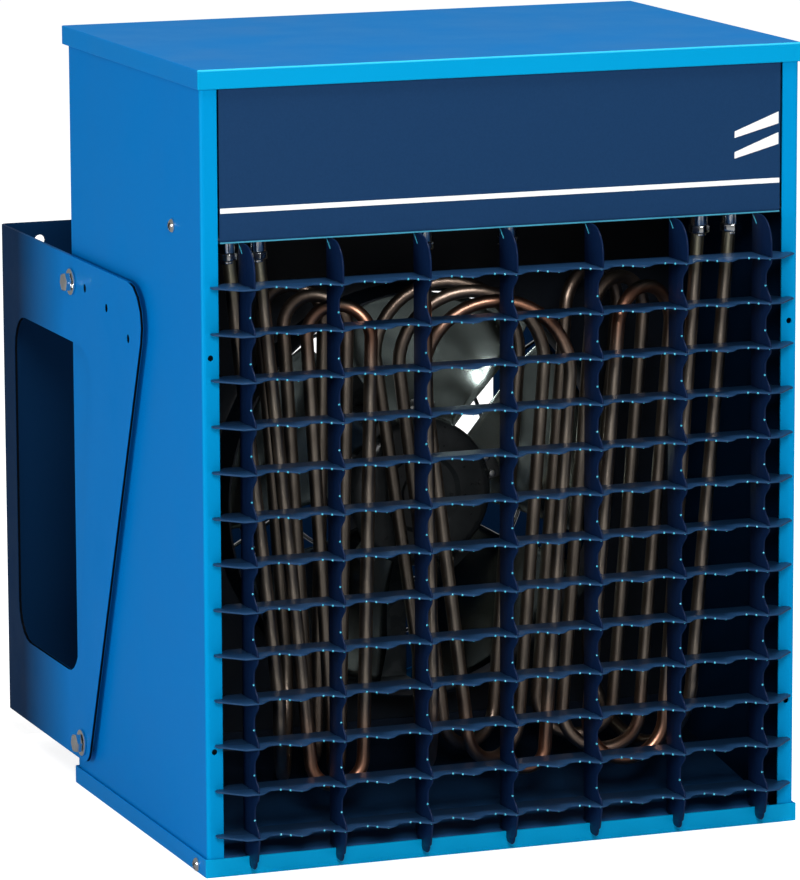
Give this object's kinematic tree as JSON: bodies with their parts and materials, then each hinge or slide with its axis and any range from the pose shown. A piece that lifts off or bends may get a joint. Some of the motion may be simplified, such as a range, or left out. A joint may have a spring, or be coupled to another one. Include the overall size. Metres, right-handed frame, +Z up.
{
  "type": "electric fan heater",
  "caption": "Floor or wall mounted electric fan heater: sheet casing, egg-crate outlet grille, looped tubular elements, axial fan and a tilting wall bracket.",
  "frame": {"origin": "middle of the casing's footprint, on the flat underside of the base tray", "axes": "+Z up, -Y out of the outlet grille, +Y towards the wall, +X towards the side with the controls"},
  "size_m": [0.488, 0.4935, 0.577],
  "materials": {
    "blue_enamel": "smooth glossy stove enamel, mid blue",
    "navy_enamel": "smooth satin enamel, dark blue",
    "zinc_steel": "bright zinc plated",
    "element_sheath": "heat-tinted brown stainless steel",
    "polished_aluminium": "pressed sheet, semi-polished",
    "motor_enamel": "black motor enamel",
    "black_plastic": "moulded black",
    "cream_plastic": "moulded cream",
    "red_plastic": "moulded red"
  },
  "bodies": {
    "casing": {"air_guide": "blue_enamel", "back_panel": "blue_enamel", "base_tray": "blue_enamel", "cable_gland": "black_plastic", "compartment_floor": "zinc_steel", "contactor": "cream_plastic", "control_cover": "navy_enamel", "element_center": "element_sheath", "element_left": "element_sheath", "element_right": "element_sheath", "fan_motor": "motor_enamel", "fan_plate": "blue_enamel", "fan_ring": "blue_enamel", "left_side_panel": "blue_enamel", "lid": "blue_enamel", "louvre_h_01": "navy_enamel", "louvre_h_02": "navy_enamel", "louvre_h_03": "navy_enamel", "louvre_h_04": "navy_enamel", "louvre_h_05": "navy_enamel", "louvre_h_06": "navy_enamel", "louvre_h_07": "navy_enamel", "louvre_h_08": "navy_enamel", "louvre_h_09": "navy_enamel", "louvre_h_10": "navy_enamel", "louvre_h_11": "navy_enamel", "louvre_h_12": "navy_enamel", "louvre_h_13": "navy_enamel", "louvre_v_01": "navy_enamel", "louvre_v_02": "navy_enamel", "louvre_v_03": "navy_enamel", "louvre_v_04": "navy_enamel", "louvre_v_05": "navy_enamel", "louvre_v_06": "navy_enamel", "louvre_v_07": "navy_enamel", "motor_strap": "zinc_steel", "overheat_cutout": "cream_plastic", "pivot_bolt_left": "zinc_steel", "pivot_bolt_right": "zinc_steel", "pivot_spacer_left": "black_plastic", "pivot_spacer_right": "black_plastic", "pivot_washer_left": "zinc_steel", "pivot_washer_right": "zinc_steel", "rear_guard": "zinc_steel", "right_side_panel": "blue_enamel", "selector_body": "cream_plastic", "terminal_block": "cream_plastic", "thermostat_body": "polished_aluminium"},
    "bracket": {"wall_bracket": "blue_enamel", "index_bolt_left": "zinc_steel", "index_bolt_right": "zinc_steel", "index_washer_left": "zinc_steel", "index_washer_right": "zinc_steel"},
    "fan": {"fan_impeller": "polished_aluminium", "motor_shaft": "zinc_steel"},
    "selector": {"selector_knob": "black_plastic"},
    "thermostat": {"thermostat_knob": "black_plastic"},
    "reset": {"reset_button": "red_plastic"}
  },
  "joints": [
    {"name": "bracket_tilt", "type": "hinge", "parent": "casing", "child": "bracket", "pos_m": [0, 0.1203, 0.039], "axis": [-1, 0, 0], "range_deg": [0, 22.5]},
    {"name": "fan_spin", "type": "hinge", "parent": "casing", "child": "fan", "pos_m": [0, 0.028, 0.2325], "axis": [0, -1, 0], "continuous": true},
    {"name": "selector_turn", "type": "hinge", "parent": "casing", "child": "selector", "pos_m": [0.228, -0.068, 0.517], "axis": [-1, 0, 0], "range_deg": [0, 135]},
    {"name": "thermostat_turn", "type": "hinge", "parent": "casing", "child": "thermostat", "pos_m": [0.228, 0.007, 0.517], "axis": [-1, 0, 0], "range_deg": [0, 270]},
    {"name": "reset_push", "type": "slide", "parent": "casing", "child": "reset", "axis": [-1, 0, 0], "range_m": [0, 0.003], "stiffness_N_per_m": 400, "springref_m": -0.003}
  ]
}
